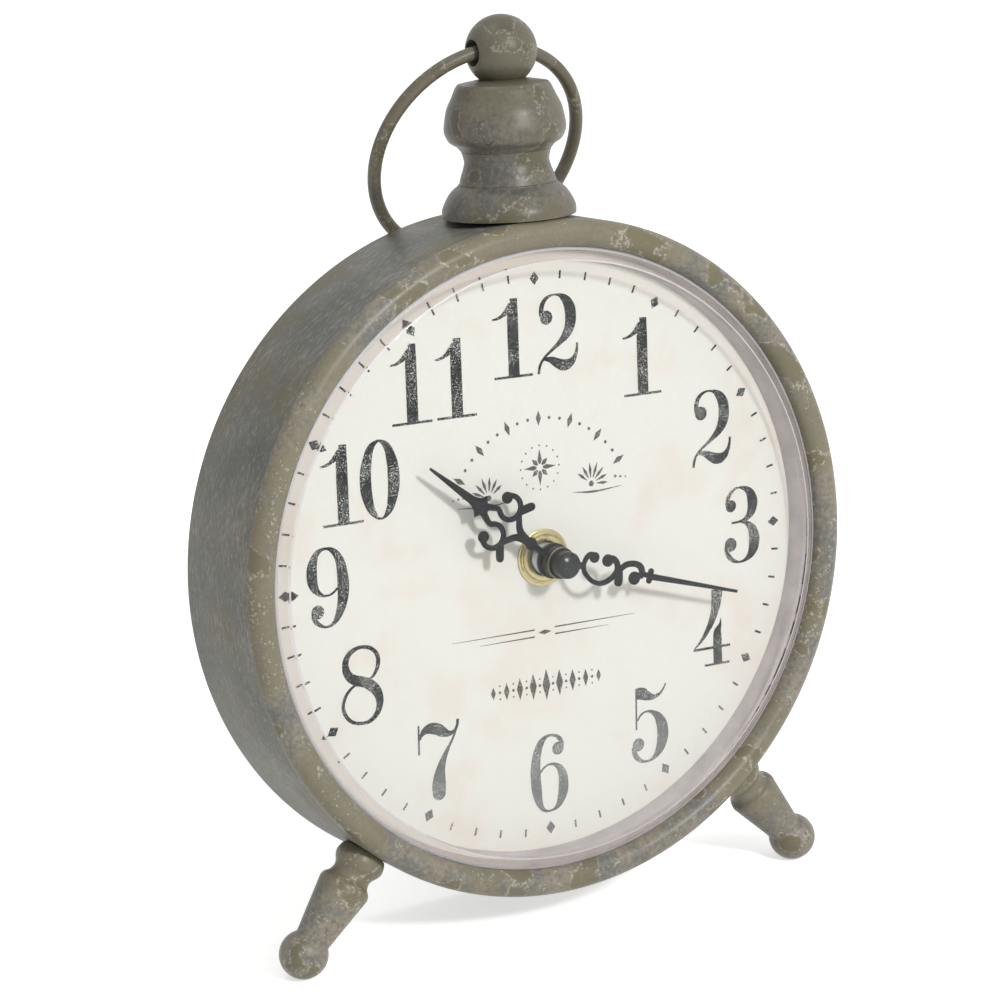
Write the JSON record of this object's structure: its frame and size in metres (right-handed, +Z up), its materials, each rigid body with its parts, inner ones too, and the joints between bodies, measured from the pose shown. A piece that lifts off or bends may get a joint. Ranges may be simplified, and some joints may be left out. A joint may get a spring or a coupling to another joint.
{
  "type": "table clock",
  "caption": "Round drum table clock on two turned feet and a folding rear strut, with a domed glass, pierced hands, a turned finial and a hanging ring.",
  "frame": {"origin": "on the surface it stands on, below the middle of its width and depth", "axes": "+Z up, +Y from the dial to the back, +X to the right of a reader in front"},
  "size_m": [0.172, 0.0642, 0.2288],
  "materials": {
    "case_steel": "distressed",
    "case_glass": "clear",
    "spacer_paint": "matte",
    "dial_paper": "printed paper",
    "bright_steel": "satin",
    "black_rubber": "matte",
    "hub_brass": "satin",
    "hand_black": "satin",
    "cap_black": "gloss",
    "turned_steel": "distressed",
    "ring_steel": "distressed",
    "housing_black": "matte",
    "bush_steel": "satin",
    "plate_brass": "satin",
    "board_green": "matte",
    "copper_wire": "satin",
    "magnet": "matte",
    "gear_plastic": "satin",
    "knob_plastic": "satin",
    "battery_sleeve": "gloss",
    "spring_steel": "satin",
    "cover_steel": "matte",
    "strut_steel": "matte"
  },
  "bodies": {
    "case": {"case_drum": "case_steel", "glass": "case_glass", "spacer_ring": "spacer_paint", "dial_face": "dial_paper", "dial_plate": "bright_steel", "dial_screws": "bright_steel", "gasket": "black_rubber", "dial_washer": "hub_brass", "dial_nut": "hub_brass", "finial_foot": "turned_steel", "finial_waist": "turned_steel", "finial_bulb": "turned_steel", "finial_ball": "turned_steel", "finial_rod": "bright_steel", "finial_washer": "bright_steel", "finial_nut": "bright_steel", "left_foot": "turned_steel", "right_foot": "turned_steel", "foot_nuts": "bright_steel", "movement_front": "housing_black", "movement_back": "housing_black", "centre_bush": "bush_steel", "train_plate": "plate_brass", "circuit_board": "board_green", "coil": "copper_wire", "stator": "bright_steel", "positive_contact": "spring_steel", "negative_contact": "spring_steel", "cover_brackets": "bright_steel", "back_cover": "cover_steel", "cover_screws": "bright_steel", "strut_bracket": "strut_steel", "strut_rivets": "bright_steel", "strut_pin": "bright_steel"},
    "minute_shaft": {"minute_hand": "hand_black", "cap_nut": "cap_black", "cannon_pinion": "bright_steel"},
    "hour_shaft": {"hour_hand": "hand_black", "hour_wheel": "gear_plastic"},
    "minute_gear": {"minute_wheel": "gear_plastic"},
    "setting_shaft": {"setting_knob": "knob_plastic"},
    "rotor_shaft": {"rotor": "magnet"},
    "intermediate_shaft": {"intermediate_wheel": "gear_plastic"},
    "seconds_shaft": {"seconds_wheel": "gear_plastic"},
    "third_shaft": {"third_wheel": "gear_plastic"},
    "centre_shaft": {"centre_wheel": "gear_plastic"},
    "ring": {"hanging_ring": "ring_steel"},
    "battery_cell": {"battery": "battery_sleeve"},
    "rear_strut": {"strut": "strut_steel"}
  },
  "joints": [
    {"name": "minute_spin", "type": "hinge", "parent": "case", "child": "minute_shaft", "pos_m": [0, -0.0151, 0.09473], "axis": [0, 0.9949, -0.1011], "continuous": true},
    {"name": "hour_spin", "type": "hinge", "parent": "case", "child": "hour_shaft", "pos_m": [0, -0.0151, 0.09473], "axis": [0, 0.9949, -0.1011], "continuous": true},
    {"name": "minute_gear_spin", "type": "hinge", "parent": "case", "child": "minute_gear", "pos_m": [0.00846, -0.00845, 0.09096], "axis": [0, 0.9949, -0.1011], "continuous": true},
    {"name": "setting_spin", "type": "hinge", "parent": "case", "child": "setting_shaft", "pos_m": [0.0177, -0.00029, 0.0921], "axis": [0, 0.9949, -0.1011], "continuous": true},
    {"name": "rotor_spin", "type": "hinge", "parent": "case", "child": "rotor_shaft", "pos_m": [0.01149, -0.00016, 0.10332], "axis": [0, 0.9949, -0.1011], "continuous": true},
    {"name": "intermediate_spin", "type": "hinge", "parent": "case", "child": "intermediate_shaft", "pos_m": [0.0043, -0.00042, 0.10072], "axis": [0, 0.9949, -0.1011], "continuous": true},
    {"name": "seconds_spin", "type": "hinge", "parent": "case", "child": "seconds_shaft", "pos_m": [0, -0.00217, 0.09341], "axis": [0, 0.9949, -0.1011], "continuous": true},
    {"name": "third_spin", "type": "hinge", "parent": "case", "child": "third_shaft", "pos_m": [-0.00837, -0.00202, 0.09488], "axis": [0, 0.9949, -0.1011], "continuous": true},
    {"name": "centre_spin", "type": "hinge", "parent": "case", "child": "centre_shaft", "pos_m": [0, -0.00515, 0.09372], "axis": [0, 0.9949, -0.1011], "continuous": true},
    {"name": "ring_swing", "type": "hinge", "parent": "case", "child": "ring", "pos_m": [0, 0.00695, 0.21985], "axis": [1, 0, 0], "range_deg": [0, 310]},
    {"name": "battery_slide", "type": "slide", "parent": "case", "child": "battery_cell", "axis": [0, 0.9949, -0.1011], "range_m": [0, 0.025]},
    {"name": "strut_fold", "type": "hinge", "parent": "case", "child": "rear_strut", "pos_m": [0, 0.01158, 0.05382], "axis": [1, 0, 0], "range_deg": [-25, 0]}
  ],
  "couplings": [
    {"joint": "hour_spin", "follows": "minute_spin", "ratio": 0.083333},
    {"joint": "minute_gear_spin", "follows": "minute_spin", "ratio": -0.33333},
    {"joint": "setting_spin", "follows": "minute_spin", "ratio": 0.83333},
    {"joint": "intermediate_spin", "follows": "rotor_spin", "ratio": -0.13333},
    {"joint": "seconds_spin", "follows": "rotor_spin", "ratio": 0.033333},
    {"joint": "third_spin", "follows": "rotor_spin", "ratio": -0.0044444},
    {"joint": "centre_spin", "follows": "rotor_spin", "ratio": 0.00055556}
  ]
}
